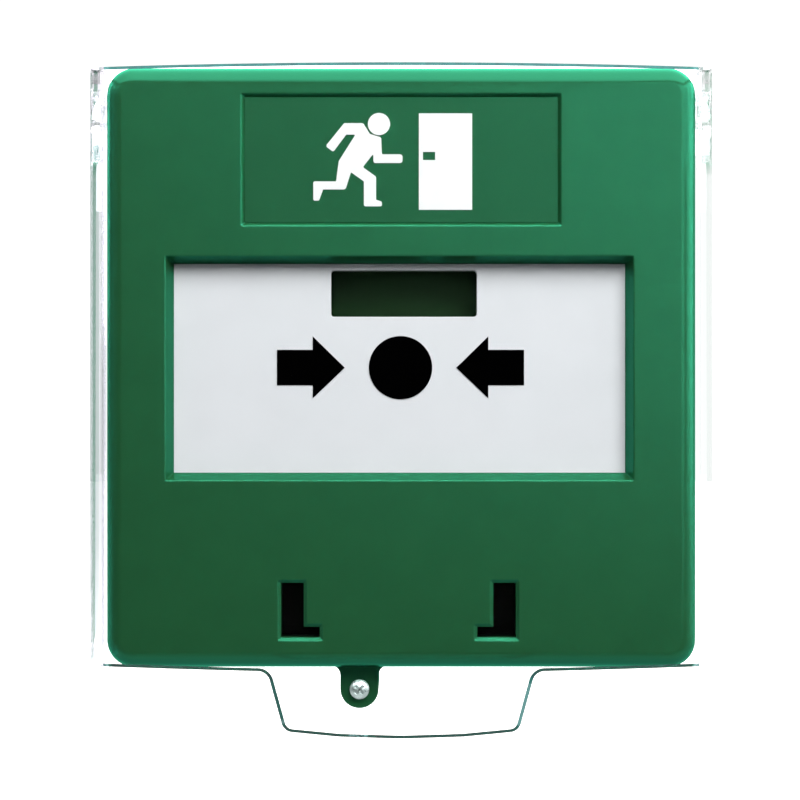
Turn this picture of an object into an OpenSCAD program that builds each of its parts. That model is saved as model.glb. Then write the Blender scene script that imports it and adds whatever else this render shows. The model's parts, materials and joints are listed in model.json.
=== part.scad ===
// Manual call point, resettable, surface mounted, with a hinged clear cover.
// Frame: millimetres, +Z up, the front faces -Y, +X to the right seen from the
// front. The origin is the centre of the back (wall) face of the back box.

/* [Housing] */
// Width of the housing
body_w = 87; // [84:0.5:92]
// Height of the housing
body_h = 88.8; // [86:0.2:92]
// Corner radius of the housing seen from the front
corner_r = 4; // [3:0.1:5]
// Depth of the back box
box_d = 31; // [29:0.5:36]
// Depth of the front bezel, rear edge to front face
bezel_d = 15; // [14.5:0.1:16]
// Wall thickness of the box and of the bezel skirt
wall = 2.2; // [2:0.1:2.6]
// Thickness of the bezel's front wall
face_t = 2.5; // [2.3:0.1:2.8]
// Radius of the bezel's front edge
edge_r = 2.3; // [1.5:0.1:2.6]

/* [Front openings] */
// Width of the window at the rear of the front wall
win_w = 66.8; // [64:0.2:68]
// Height of the window at the rear of the front wall
win_h = 31; // [29:0.2:32]
// How far each side of the window opens out towards the front
win_flare = 1.05; // [0.4:0.05:1.4]
// Width of the label recess
label_w = 46.2; // [40:0.1:50]
// Height of the label recess
label_h = 18.6; // [16:0.1:19.4]
// Height of the label's centre above the housing's centre
label_z = 30.7; // [29:0.1:31]
// Sideways place of the pair of key slots
slot_pair_x = -0.4; // [-1:0.1:1]

/* [Pressed element] */
// Travel of the pressed element
press_travel = 2.5; // [1.5:0.1:2.5]
// Width of the indicator slot in the element
ind_w = 21.6; // [18:0.2:22]
// Height of the indicator slot in the element
ind_h = 6.9; // [5:0.1:7.2]
// Height of the indicator slot's centre
ind_z = 11.0; // [10.6:0.1:11.2]
// Radius of the printed dot
dot_r = 4.7; // [3.5:0.1:5]

/* [Clear cover] */
// Outer width of the clear cover
cover_w = 91.2; // [91:0.1:93]
// Thickness of the clear cover
cover_t = 1.6; // [1.4:0.1:1.8]
// How far the face bows forward in the middle
cover_bow = 6; // [1:0.5:7]
// Gap between the bezel face and the cover's inner edge at the sides
cover_gap = 2.4; // [2:0.1:4]
// Height of the hinge axis above the housing's centre
hinge_z = 39.7; // [38.5:0.1:40]
// Distance of the hinge axis behind the bezel face
hinge_back = 8; // [7:0.1:9]
// Radius of the cover's hinge pegs
peg_r = 1.8; // [1.4:0.05:2]

/* [Fixings] */
// Distance between the two wall fixing holes
fix_spacing = 60.3; // [50:0.1:61]
// Radius of the wall fixing holes
fix_r = 2.25; // [1.8:0.05:2.6]
// Radius of the cable entry in the back wall
entry_r = 10; // [8:0.5:11]

/* [Hidden] */
overlap = 0.01;                 // overlap of joined solids
cut = 1;                        // how far a cut runs past a face
sides = [-1, 1];

// Housing
half_w = body_w / 2;
half_h = body_h / 2;
joint_y = -box_d;               // plane between box and bezel
front_y = -(box_d + bezel_d);   // front face of the bezel
inner_y = front_y + face_t;     // rear of the bezel's front wall
cavity_w = body_w - 2 * wall;
cavity_h = body_h - 2 * wall;
cavity_r = max(corner_r - wall, 0.8);
floor_t = 2.5;                  // back wall of the box
label_y = front_y + 0.55;       // floor of the label recess
label_t = 0.15;
hook_x = 25;                    // hooks at the top of the joint

// Screw lug under the housing
lug_x = -6.2;
lug_z = -half_h - 3.5;
lug_r = 2.85;
lug_y = front_y + 4;            // front face of the bezel's lug
lug_t = 3.4;                    // thickness of the box's lug

// Pressed element
plate_front = inner_y + 0.05;
plate_back = plate_front + 1.8;
plate_w = 70.4;
plate_h = 34.6;
plate_x = -0.2;
plate_z = -0.1;
print_x = -0.1;
print_t = 0.08;                 // thickness of the printed films
ind_x = 0.4;                    // centre of the indicator slot
guide_x = 30;                   // guide posts and the springs round them
finger_x = [3, 6.4];            // finger that works the switch levers
finger_z = 6.4;                 // its half height

// Chassis, slider and circuit board
chassis_front = plate_back + press_travel + 2.15;
chassis_back = chassis_front + 2;
chassis_screw = [37.4, 24];     // x and z of the four screws, either side
board_screw = [22.5, 16.5];
slider_spring_x = 24;
switch_front = chassis_back + 3.5;   // face of the cases that carries the plungers
switch_back = chassis_back + 13.7;   // seat on the circuit board
board_back = switch_back + 1.6;

// Clear cover: its bowed face is part of two concentric cylinders about a
// vertical axis.
hinge_y = front_y + hinge_back;
cover_half = cover_w / 2;
cover_in = cover_half - cover_t;          // inner half width
bow_r = (cover_half * cover_half + cover_bow * cover_bow) / (2 * cover_bow);
cover_side_y = front_y - cover_gap - cover_t;  // outer face at the sides
bow_y = cover_side_y - cover_bow + bow_r;      // axis of the bow
cover_top = half_h - 0.45;                // top edge
cover_low = half_h - 0.62;                // depth of the lower edge beside the tab

green = [0.13, 0.40, 0.25];
dark_green = [0.09, 0.28, 0.17];

// ---------- helpers ----------

// Copies at the same distance to the left and right.
module at_sides(x) {
  for (side = sides) translate([side * x, 0, 0]) children();
}

// Copies at the four corners of a rectangle, place = half its [width, height].
module at_corners(place) {
  for (x = sides, z = sides) translate([x * place[0], 0, z * place[1]]) children();
}

// Puts a flat XY drawing in the XZ plane, from y0 (front) to y1 (rear).
module front_slab(y0, y1) {
  translate([0, y1, 0]) rotate([90, 0, 0]) linear_extrude(y1 - y0) children();
}

// Puts a drawing whose x is the object's Y and whose y is the object's Z
// between x0 and x1, in either order.
module side_slab(x0, x1) {
  translate([min(x0, x1), 0, 0]) rotate([90, 0, 90]) linear_extrude(abs(x1 - x0)) children();
}

// A rod along Y.
module rod_y(r, y0, y1, x = 0, z = 0) {
  translate([x, y1, z]) rotate([90, 0, 0]) cylinder(r = r, h = y1 - y0, $fn = 48);
}

// A rod along X, its ends in either order.
module rod_x(r, x0, x1, y = 0, z = 0, fn = 48) {
  translate([min(x0, x1), y, z]) rotate([0, 90, 0])
    cylinder(r = r, h = abs(x1 - x0), $fn = fn);
}

// A block given by any two opposite corners.
module block(a, b) {
  low = [for (i = [0:2]) min(a[i], b[i])];
  high = [for (i = [0:2]) max(a[i], b[i])];
  translate(low) cube(high - low);
}

// Rounded rectangle with true circles at its corners.
module rrect(w, h, r) {
  square([w - 2 * r, h], center = true);
  square([w, h - 2 * r], center = true);
  for (x = sides, y = sides)
    translate([x * (w / 2 - r), y * (h / 2 - r)]) circle(r = r, $fn = 64);
}

// Outline through corner points [x, y, r], each corner rounded to its r.
function unit(v) = v / norm(v);
function flat(p) = [p[0], p[1]];
function corner_arc(before, corner, after, r, steps) =
  let (to_before = unit(flat(before) - flat(corner)))
  let (to_after = unit(flat(after) - flat(corner)))
  let (half = acos(max(-1, min(1, to_before * to_after))) / 2)
  r <= 0 || half > 89.5 ? [flat(corner)] :
  let (reach = r / tan(half))
  let (centre = flat(corner) + unit(to_before + to_after) * (r / sin(half)))
  let (from = flat(corner) + to_before * reach - centre)
  let (to = flat(corner) + to_after * reach - centre)
  let (start = atan2(from[1], from[0]))
  let (sweep = atan2(from[0] * to[1] - from[1] * to[0], from * to))
  [for (i = [0:steps])
    let (angle = start + sweep * i / steps) centre + r * [cos(angle), sin(angle)]];
function rounded(points, steps) = let (count = len(points)) [
  for (i = [0:count - 1])
    each corner_arc(points[(i + count - 1) % count], points[i],
                    points[(i + 1) % count], points[i][2], steps)
];

// Pan head screw along +Y with a cross recess, head towards -Y, head seat at
// the origin.
module pan_screw(head_r, head_h, shank_r, shank_l) {
  rim_h = head_h * 0.55;
  dome_r = head_r * 1.6;
  recess_w = head_r * 1.15;
  recess_d = head_h * 0.6;
  difference() {
    union() {
      rod_y(head_r, -rim_h, 0);
      translate([0, -rim_h + overlap, 0]) rotate([90, 0, 0])
        rotate_extrude($fn = 64)
          intersection() {
            translate([0, head_h * 0.45 - dome_r]) circle(r = dome_r, $fn = 96);
            square([head_r * 0.9, head_h]);
          }
      rod_y(shank_r, -overlap, shank_l);
    }
    for (angle = [45, 135])
      translate([0, -head_h - 0.1 + recess_d / 2 - overlap, 0]) rotate([0, angle, 0])
        cube([recess_w, recess_d + 2 * overlap, recess_w * 0.26], center = true);
  }
}

// Height of a coil's wire centre after a number of turns: one closed turn at
// each end and open turns between them.
function coil_z(turn, turns, length, wire_r) =
  let (closed = 2.08 * wire_r)
  let (open = (length - 2 * wire_r - 2 * closed) / (turns - 2))
  wire_r + (
    turn < 1 ? closed * turn :
    turn > turns - 1 ? closed + open * (turns - 2) + closed * (turn - turns + 1) :
    closed + open * (turn - 1)
  );

// Compression spring along +Z from 0 to length; coil_r is to the wire centre.
module coil(coil_r, wire_r, length, turns) {
  steps = 18;                   // rings of points to a turn
  facets = 6;                   // sides round the wire
  rings = steps * turns;
  points = [for (i = [0:rings])
    let (turn = i / steps, around = 360 * turn, z = coil_z(turn, turns, length, wire_r))
    for (j = [0:facets - 1])
      let (angle = 360 * j / facets, r = coil_r + wire_r * cos(angle))
      [r * cos(around), r * sin(around), z + wire_r * sin(angle)]];
  tube = [for (i = [0:rings - 1]) for (j = [0:facets - 1])
    let (next = (j + 1) % facets, ring = i * facets, after = ring + facets)
    [ring + j, after + j, after + next, ring + next]];
  start_cap = [for (j = [0:facets - 1]) j];
  end_cap = [for (j = [facets - 1:-1:0]) rings * facets + j];
  polyhedron(points = points, faces = concat(tube, [start_cap, end_cap]), convexity = 10);
}

// ---------- outlines shared by pieces ----------

// Key slot to the right of the pair's centre: [x, z, x growth, z growth].
KEY_SLOT = [
  [13.95, -31.8, -1,  1], [17.3, -31.8,  1,  1], [17.3,  -39.9,  1, -1],
  [11.6,  -39.9, -1, -1], [11.6, -38.3, -1,  1], [13.95, -38.3, -1,  1]
];

// Both key slots, grown all round.
module key_slot_pair(grow = 0) {
  translate([slot_pair_x, 0])
    for (flip = [0, 1])
      mirror([flip, 0])
        polygon([for (p = KEY_SLOT) [p[0] + grow * p[2], p[1] + grow * p[3]]]);
}

// Screw lug under the housing: a fillet each side of the root, then the
// round end.
module lug_outline() {
  fillet_r = 1.5;
  root_z = -half_h - 1.45;
  translate([lug_x, 0]) {
    translate([0, lug_z]) circle(r = lug_r, $fn = 64);
    translate([-lug_r, lug_z]) square([2 * lug_r, -half_h - lug_z + 1]);
    difference() {
      translate([-lug_r - 1.4, root_z]) square([2 * lug_r + 2.8, 1.95]);
      for (side = sides)
        translate([side * (lug_r + fillet_r), root_z]) circle(r = fillet_r, $fn = 64);
    }
  }
}

// ---------- back box ----------

// Relief of the rear face inside its rim, broken by ribs and pads.
module rear_relief() {
  rib_at = 21;
  rib_half = 0.7;
  difference() {
    front_slab(-0.8, cut) rrect(body_w - 7, body_h - 7, 2);
    at_sides(fix_spacing / 2) rod_y(7, -2, 2);
    rod_y(entry_r + 2.6, -2, 2);
    for (side = sides) {
      block([side * rib_at - rib_half, -2, -half_h], [side * rib_at + rib_half, 2, half_h]);
      block([-half_w, -2, side * rib_at - rib_half], [half_w, 2, side * rib_at + rib_half]);
    }
    at_corners([33.5, 34.5]) rod_y(4.5, -2, 2);
  }
}

// Gap cut round the outside of the joint with the bezel.
module joint_gap() {
  difference() {
    front_slab(joint_y - cut, joint_y + 0.5) rrect(body_w + 2, body_h + 2, corner_r + 1);
    front_slab(joint_y - 2, joint_y + 1) rrect(body_w - 0.8, body_h - 0.8, corner_r - 0.4);
  }
}

// Conduit knockouts top and bottom: a ring groove outside, a thinned disc inside.
module knockout_cuts() {
  for (side = sides) {
    translate([0, joint_y / 2 - 0.5, side * (half_h - 0.55)]) difference() {
      cylinder(r = 10.4, h = 1.3, center = true, $fn = 96);
      cylinder(r = 9.8, h = 2, center = true, $fn = 96);
    }
    translate([0, joint_y / 2 - 0.5, side * (half_h - wall + 0.35)])
      cylinder(r = 9.3, h = 0.9, center = true, $fn = 96);
  }
}

module back_box() {
  color(green) difference() {
    union() {
      difference() {
        front_slab(joint_y, 0) rrect(body_w, body_h, corner_r);
        front_slab(joint_y - cut, -floor_t) rrect(cavity_w, cavity_h, cavity_r);
        joint_gap();
        rear_relief();
      }
      // bosses round the wall fixing holes
      at_sides(fix_spacing / 2) rod_y(5.5, -4.5, -2);
      // corner gussets
      for (x = sides, z = sides)
        block([x * (cavity_w / 2 - 6), -20, z * (cavity_h / 2 - 1.2)],
              [x * (cavity_w / 2 + overlap), -2.4, z * (cavity_h / 2 + overlap)]);
      // quarter-round lips that the bezel's hooks run round
      at_sides(hook_x)
        intersection() {
          rod_x(3.85, -4.6, 4.6, joint_y, half_h);
          block([-5, joint_y, half_h - 4], [5, joint_y + 4, half_h - wall / 2]);
        }
      // stiffening rim round the cable entry
      rod_y(entry_r + 2, -4, -2);
      // lug for the locking screw
      front_slab(joint_y, joint_y + lug_t) lug_outline();
    }
    // fixing holes, counterbored from inside
    at_sides(fix_spacing / 2) {
      rod_y(fix_r, -6, cut);
      rod_y(4.3, -6, -3.4);
    }
    rod_y(entry_r, -6, cut);
    // seat of the threaded insert
    rod_y(1.7, joint_y - cut, joint_y + lug_t + cut, lug_x, lug_z);
    knockout_cuts();
  }
}

module lug_insert() {
  color("gold") difference() {
    rod_y(1.69, joint_y + 0.3, joint_y + 3.3, lug_x, lug_z);
    rod_y(1.25, joint_y - cut, joint_y + 5, lug_x, lug_z);
  }
}

// ---------- front bezel ----------

// Section of the block, w wide and d deep, with its two far corners rounded.
module edge_profile(w, d) {
  translate([-w / 2, 0]) square([w, d - edge_r]);
  translate([-w / 2 + edge_r, 0]) square([w - 2 * edge_r, d]);
  for (side = sides)
    translate([side * (w / 2 - edge_r), d - edge_r]) circle(r = edge_r, $fn = 64);
}

// Solid block of the bezel: rounded corners seen from the front, and a
// rounded front edge that runs round them.
module bezel_block() {
  mid_w = body_w - 2 * corner_r;
  mid_h = body_h - 2 * corner_r;
  translate([0, joint_y, 0]) rotate([90, 0, 0]) {
    // full height, between the corners
    rotate([90, 0, 90]) translate([0, 0, -mid_w / 2])
      linear_extrude(mid_w) edge_profile(body_h, bezel_d);
    // full width, between the corners
    rotate([90, 0, 0]) translate([0, 0, -mid_h / 2])
      linear_extrude(mid_h) edge_profile(body_w, bezel_d);
    for (x = sides, z = sides)
      translate([x * mid_w / 2, z * mid_h / 2, 0])
        rotate_extrude($fn = 96) intersection() {
          edge_profile(2 * corner_r, bezel_d);
          square([corner_r * 2, bezel_d * 2]);
        }
  }
}

// Outline [y, distance from centre] of an opening that widens from back to the
// front face; it runs straight on behind back by past.
function flare_outline(half, back, flare, past) =
  let (edge = [
    if (past > 0) [back + past, half],
    [back, half], [front_y, half + flare], [front_y - cut, half + flare]
  ])
  concat([for (p = edge) [p[0], -p[1]]], [for (i = [len(edge) - 1:-1:0]) edge[i]]);

// Rectangular opening, w by h at its rear, with all four sides flared.
module flared_opening(w, h, back, flare, past) {
  reach = 50;
  intersection() {
    side_slab(-reach, reach) polygon(flare_outline(h / 2, back, flare, past));
    translate([0, 0, -reach]) linear_extrude(2 * reach)
      polygon([for (p = flare_outline(w / 2, back, flare, past)) [p[1], p[0]]]);
  }
}

// Hook that turns about the top rear edge.
module bezel_hook() {
  block([-4, joint_y - 4, half_h - 5.3], [4, joint_y - 0.05, half_h - wall + 0.2]);
  intersection() {
    difference() {
      rod_x(5.3, -4, 4, joint_y, half_h);
      rod_x(4.0, -5, 5, joint_y, half_h);
    }
    side_slab(-4, 4)
      translate([joint_y, half_h])
        polygon([[-0.06, 0], [-0.06, -7], [5.6, -7], [5.6, -5.6]]);
  }
}

module front_bezel() {
  color(green) difference() {
    union() {
      difference() {
        bezel_block();
        front_slab(inner_y, joint_y + cut) rrect(cavity_w, cavity_h, cavity_r);
      }
      // lug for the locking screw
      front_slab(lug_y, joint_y) lug_outline();
      // bosses for the chassis screws
      at_corners(chassis_screw) rod_y(3, inner_y - overlap, chassis_front);
      at_sides(hook_x) bezel_hook();
      // rib round the rear of the window
      difference() {
        front_slab(inner_y - overlap, inner_y + 0.6) rrect(76.4, 40.6, 1.2);
        front_slab(inner_y - 1, inner_y + 2) rrect(73.6, 37.6, 0.8);
      }
    }
    // window
    translate([-0.25, 0, -0.1]) flared_opening(win_w, win_h, inner_y, win_flare, past = cut);
    // label recess
    translate([0, 0, label_z]) flared_opening(label_w, label_h, label_y, 0.45, past = 0);
    // key slots, with a shallow step round each
    front_slab(front_y - cut, inner_y + cut) key_slot_pair();
    front_slab(front_y - cut, front_y + 0.25) key_slot_pair(0.35);
    // bores for the cover's hinge pegs
    for (side = sides)
      rod_x(peg_r + 0.05, side * (half_w - 4), side * (half_w + cut), hinge_y, hinge_z);
    // passage for the locking screw
    rod_y(1.05, lug_y - cut, joint_y + cut, lug_x, lug_z);
    // pilot holes in the bosses
    at_corners(chassis_screw) rod_y(1.05, chassis_front - 5, chassis_front + cut);
  }
}

module exit_label() {
  color(green) translate([0, 0, label_z])
    front_slab(label_y - label_t, label_y) rrect(label_w - 0.08, label_h - 0.08, 0.1);
}

// Body of the running figure: [x, z, corner radius].
FIGURE = [
  [-8.4, 36.1, 0.2], [-11.15, 32.7, 0.3], [-10.0, 31.85, 0.25],
  [-8.1, 34.4, 0.1], [-6.75, 34.4, 0.1], [-9.2, 30.5, 0.5],
  [-9.6, 27.5, 0.1], [-12.95, 27.5, 0.25], [-12.95, 24.65, 0.2],
  [-12.1, 24.65, 0.2], [-11.5, 26.3, 0.1], [-8.2, 26.3, 0.4],
  [-7.4, 28.85, 0.1], [-5.5, 27.5, 0.2], [-5.5, 23.8, 0.25],
  [-2.85, 23.8, 0.2], [-2.85, 24.5, 0.2], [-3.7, 24.8, 0.1],
  [-3.7, 28.2, 0.3], [-5.65, 29.6, 0.2], [-4.1, 31.6, 0.1],
  [-4.1, 30.2, 0.3], [0.2, 30.2, 0.4], [0.2, 31.5, 0.4],
  [-2.85, 31.5, 0.2], [-2.95, 34.0, 0.3], [-4.6, 34.5, 0.3],
  [-5.6, 36.1, 0.4]
];

// Running figure and door, raised film on the label.
module exit_pictogram() {
  film_back = label_y - label_t;
  color("white") front_slab(film_back - print_t, film_back) {
    // head
    translate([-3.27, 35.97]) circle(r = 1.64, $fn = 64);
    polygon(rounded(FIGURE, 3));
    // door with its handle hole
    difference() {
      translate([2.6, 23.3]) square([7.85, 14.25]);
      translate([3.2, 30.65]) square([1.8, 1.2]);
    }
  }
}

// ---------- pressed element ----------

module element_plate() {
  color("white") difference() {
    union() {
      translate([plate_x, 0, plate_z]) {
        front_slab(plate_front, plate_back) rrect(plate_w, plate_h, 0.6);
        // stiffening walls behind the plate
        difference() {
          front_slab(plate_back - overlap, plate_back + 0.7)
            rrect(plate_w - 0.8, plate_h - 0.8, 0.6);
          front_slab(plate_back - 1, plate_back + 2)
            rrect(plate_w - 3.2, plate_h - 3.2, 0.4);
        }
      }
      // frame round the slot
      translate([ind_x, 0, ind_z])
        front_slab(plate_back - overlap, plate_back + 0.6) rrect(ind_w + 2.4, ind_h + 2.4, 0.6);
      // guide posts
      at_sides(guide_x) rod_y(2, plate_back - overlap, chassis_back + 1.6);
      // finger that works both switch levers
      block([finger_x[0], plate_back - overlap, -finger_z],
            [finger_x[1], chassis_back + 0.1, finger_z]);
    }
    translate([ind_x, 0, ind_z])
      front_slab(plate_front - cut, plate_back + 2) rrect(ind_w, ind_h, 0.5);
    // gap in the top wall for the flag's guides
    block([ind_x - 15.4, plate_back, ind_z + ind_h / 2 + 1.1],
          [ind_x + 15.4, plate_back + 3, 18]);
  }
}

// Arrow to the right of the dot, pointing at it: [x, z].
ARROW = [
  [18.3, 2.65], [18.3, -2.6], [13.0, -2.6], [13.0, -4.55],
  [8.25, 0.0], [13.0, 4.65], [13.0, 2.65]
];

module element_print() {
  color("black") front_slab(plate_front - print_t, plate_front)
    translate([print_x, 0]) {
      circle(r = dot_r, $fn = 96);
      for (flip = [0, 1]) mirror([flip, 0]) polygon(ARROW);
    }
}

module element_springs() {
  color("silver")
    at_sides(guide_x)
      translate([0, chassis_front - 0.05, 0]) rotate([90, 0, 0])
        coil(coil_r = 2.6, wire_r = 0.22, length = chassis_front - plate_back - 0.1, turns = 4);
}

// ---------- chassis and what it carries ----------

module inner_chassis() {
  seat_y = chassis_front + overlap;    // rear end of what stands on the front
  root_y = chassis_back - overlap;     // front end of what stands on the rear
  color(dark_green) difference() {
    union() {
      translate([0, 0, -5]) front_slab(chassis_front, chassis_back) rrect(80.6, 72, 2);
      for (side = sides) {
        // guides of the indicator flag, and the lips in front of it
        block([ind_x + side * 13.2 - 0.7, chassis_front - 1.9, 4],
              [ind_x + side * 13.2 + 0.7, seat_y, 24.5]);
        block([ind_x + side * 12, chassis_front - 1.9, 17],
              [ind_x + side * 13.9, chassis_front - 1.45, 23]);
        // guides of the reset slider
        block([side * 28.3, chassis_front - 4.4, -38.5], [side * 29.9, seat_y, -22.5]);
        // side wings that stiffen the plate
        block([side * 38.6, root_y, -20], [side * 40.2, chassis_back + 3, 20]);
      }
      // pegs that hold the upper ends of the slider springs
      at_sides(slider_spring_x) block([-1.8, chassis_front - 4.2, -30], [1.8, seat_y, -27.2]);
      // posts for the circuit board
      at_corners(board_screw) rod_y(2.6, root_y, switch_back);
      // collars round the guide bores
      at_sides(guide_x) rod_y(3.6, root_y, chassis_back + 1.2);
    }
    at_sides(guide_x) rod_y(2.06, chassis_front - cut, chassis_back + 3);
    // opening for the element's finger
    block([finger_x[0] - 1, chassis_front - cut, -finger_z - 0.8],
          [finger_x[1] + 1, chassis_back + cut, finger_z + 0.8]);
    at_corners(chassis_screw) rod_y(1.5, chassis_front - cut, chassis_back + cut);
    // pilot holes in the posts
    at_corners(board_screw) rod_y(0.85, chassis_back + 8, chassis_back + 14.5);
  }
}

module chassis_screws() {
  color("silver")
    at_corners(chassis_screw)
      translate([0, chassis_back, 0]) rotate([0, 0, 180])
        pan_screw(head_r = 2.4, head_h = 1.6, shank_r = 1.0, shank_l = 6);
}

module indicator_flag() {
  flag_front = chassis_front - 1.3;
  flag_back = chassis_front - 0.4;
  color("gold") translate([ind_x, 0, 0]) {
    // panel that shows in the slot
    front_slab(flag_front, flag_back) translate([0, 19.9]) rrect(24.4, 8.4, 0.5);
    // lift bar at the top of the panel, with a lip to the front
    block([-6, flag_front, 23.6], [6, flag_back, 26.8]);
    block([-6, chassis_front - 2.6, 25.8], [6, flag_back, 26.8]);
  }
}

module reset_slider() {
  slider_front = chassis_front - 3.6;
  slider_back = chassis_front - 1.1;
  color("black") difference() {
    union() {
      front_slab(slider_front, slider_back) translate([0, -30.7]) rrect(56, 13.4, 1);
      // blocks behind the key slots
      for (side = sides)
        block([slot_pair_x + side * 10.6, chassis_front - 6.1, -41.2],
              [slot_pair_x + side * 18.6, slider_back, -30.4]);
      // noses that hold the element
      at_sides(14) block([-2, slider_front, -24.5], [2, chassis_front - 1.9, -21.3]);
    }
    // pockets for the two prongs of the key
    front_slab(chassis_front - 7, chassis_front - 2.2) key_slot_pair(0.1);
    // windows for the springs
    at_sides(slider_spring_x) block([-2.1, chassis_front - 5, -36], [2.1, chassis_front, -26.2]);
  }
}

module slider_springs() {
  color("silver")
    at_sides(slider_spring_x)
      translate([0, chassis_front - 2.35, -35.97])
        coil(coil_r = 0.92, wire_r = 0.17, length = 5.94, turns = 6);
}

// ---------- switches ----------

case_x = [-13, 6.8];            // ends of the cases
lid_z = [2.22, 3.2];            // rear and front... of the lid, along Z
plunger_x = -5.5;
lever_x = -11;                  // lever pivot
lever_y = switch_front - 0.9;
terminal_x = [-11, -3, 5];
switch_z = [-3.5, 3.5];

module at_switches() {
  for (z = switch_z) translate([0, 0, z]) children();
}

// Fixing holes through a case and its lid, from z up.
module switch_fixing_holes(z) {
  for (x = [-8, 1.5])
    translate([x, switch_back - 1.2, z]) cylinder(r = 0.6, h = 9, $fn = 32);
}

module switch_cases() {
  color([0.12, 0.12, 0.13]) at_switches() difference() {
    union() {
      block([case_x[0], switch_front, -3.2], [case_x[1], switch_back, 2.2]);
      // ears of the lever pivot
      for (z = [-2.9, 2.0])
        block([lever_x - 1.1, lever_y - 0.9, z],
              [lever_x + 1.1, switch_front + overlap, z + 0.9]);
    }
    // plunger bore
    rod_y(0.85, switch_front - cut, switch_front + 3.4, plunger_x);
    // chamber of the snap blade
    block([case_x[0] + 1.5, switch_front + 4.0, -2.4], [case_x[1] - 1.5, switch_back - 2.2, 3]);
    // pivot bores
    translate([lever_x, lever_y, -4]) cylinder(r = 0.45, h = 8, $fn = 32);
    switch_fixing_holes(-5);
    // slots of the terminals
    for (x = terminal_x)
      block([x - 0.82, switch_back - 2.4, -0.27], [x + 0.82, switch_back + cut, 0.27]);
  }
}

module switch_lids() {
  color([0.55, 0.12, 0.10]) at_switches() difference() {
    block([case_x[0], switch_front, lid_z[0]], [case_x[1], switch_back, lid_z[1]]);
    switch_fixing_holes(0);
    // clear the pivot ear
    block([lever_x - 1.3, switch_front - cut, 2], [lever_x + 1.3, switch_front + 0.3, 4]);
  }
}

module switch_plungers() {
  tip_r = 0.8;
  color("ivory") at_switches() union() {
    rod_y(tip_r, switch_front - tip_r, switch_front + 2.3, plunger_x);
    translate([plunger_x, switch_front - tip_r, 0]) sphere(r = tip_r, $fn = 32);
  }
}

module switch_levers() {
  color("silver") at_switches() translate([lever_x, lever_y, 0]) {
    // pivot pin
    translate([0, 0, -2.85]) cylinder(r = 0.4, h = 5.7, $fn = 32);
    // sloping blade and the thicker barrel at its root
    rotate([0, 0, -6.4]) block([0, -0.45, -1.8], [17.6, -0.15, 1.8]);
    translate([0, 0, -1.8]) cylinder(r = 0.45, h = 3.6, $fn = 32);
  }
}

module switch_terminals() {
  color("gold") at_switches()
    for (x = terminal_x)
      block([x - 0.8, switch_back - 2.3, -0.25], [x + 0.8, switch_back + 3.2, 0.25]);
}

// ---------- circuit board and terminals ----------

pole_count = 6;
pole_pitch = 5.08;
block_z = -13;                  // height of the terminal block
block_half_w = 15.6;
pole_screw_z = 0.6;             // above block_z
pole_pin_z = 1;                 // above block_z

// Copies at each pole of the terminal block.
module at_poles() {
  for (i = [0:pole_count - 1])
    translate([(i - (pole_count - 1) / 2) * pole_pitch, 0, block_z]) children();
}

module circuit_board() {
  hole_front = switch_back - cut;
  hole_back = switch_back + 3;
  color([0.10, 0.35, 0.18]) difference() {
    front_slab(switch_back, board_back) rrect(52, 40, 1.5);
    at_corners(board_screw) rod_y(1.2, hole_front, hole_back);
    // slots of the switch terminals
    for (z = switch_z, x = terminal_x)
      block([x - 0.9, hole_front, z - 0.35], [x + 0.9, hole_back, z + 0.35]);
    at_poles() rod_y(0.6, hole_front, hole_back, 0, pole_pin_z);
  }
}

module board_screws() {
  color("silver")
    at_corners(board_screw)
      translate([0, board_back, 0]) rotate([0, 0, 180])
        pan_screw(head_r = 1.9, head_h = 1.3, shank_r = 0.8, shank_l = 5.5);
}

module terminal_block() {
  color([0.10, 0.45, 0.30]) difference() {
    // body, and the narrower step behind it
    translate([0, board_back, block_z]) {
      block([-block_half_w, 0, -4.4], [block_half_w, 7, 4.2]);
      block([-block_half_w, 6.9, -3.0], [block_half_w, 10, 4.2]);
    }
    at_poles() {
      // screw well
      rod_y(2.0, board_back + 5.5, board_back + 11, 0, pole_screw_z);
      // clamp chamber and wire mouth
      block([-1.9, board_back + 1.4, -6], [1.9, board_back + 5.6, 2.6]);
      // pin passage
      rod_y(0.6, board_back - cut, board_back + 2, 0, pole_pin_z);
    }
  }
}

module terminal_clamps() {
  color("gold") at_poles() difference() {
    block([-1.8, board_back + 1.5, -1.6], [1.8, board_back + 5.5, 2.4]);
    block([-1.2, board_back + 2.1, -3], [1.2, board_back + 4.6, 4]);
    rod_y(1.05, board_back + 4, board_back + 7, 0, pole_screw_z);
  }
}

module terminal_screws() {
  color("silver") at_poles() translate([0, board_back, pole_screw_z]) difference() {
    union() {
      rod_y(1.0, 3.4, 7.0);
      rod_y(1.9, 6.9, 8.6);
    }
    // driver slot
    block([-2.2, 7.8, -0.3], [2.2, 9, 0.3]);
  }
}

module terminal_pins() {
  color("silver") at_poles() rod_y(0.5, switch_back - 1.3, board_back + 1.45, 0, pole_pin_z);
}

// ---------- clear cover ----------

// Front outline, the face and the lift tab below it: [x, z, corner radius].
module cover_outline() {
  polygon(rounded([
    [-cover_half, cover_top, 0.8], [-cover_half, -cover_low, 1.6],
    [-19.4, -cover_low - 0.3, 1.8], [-17.0, -cover_low - 8.95, 1.7],
    [-9, -cover_low - 9.65, 20], [0, -cover_low - 9.9, 60], [9, -cover_low - 9.65, 20],
    [17.0, -cover_low - 8.95, 1.7], [19.4, -cover_low - 0.3, 1.8],
    [cover_half, -cover_low, 1.6], [cover_half, cover_top, 0.8]
  ], 8));
}

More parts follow.
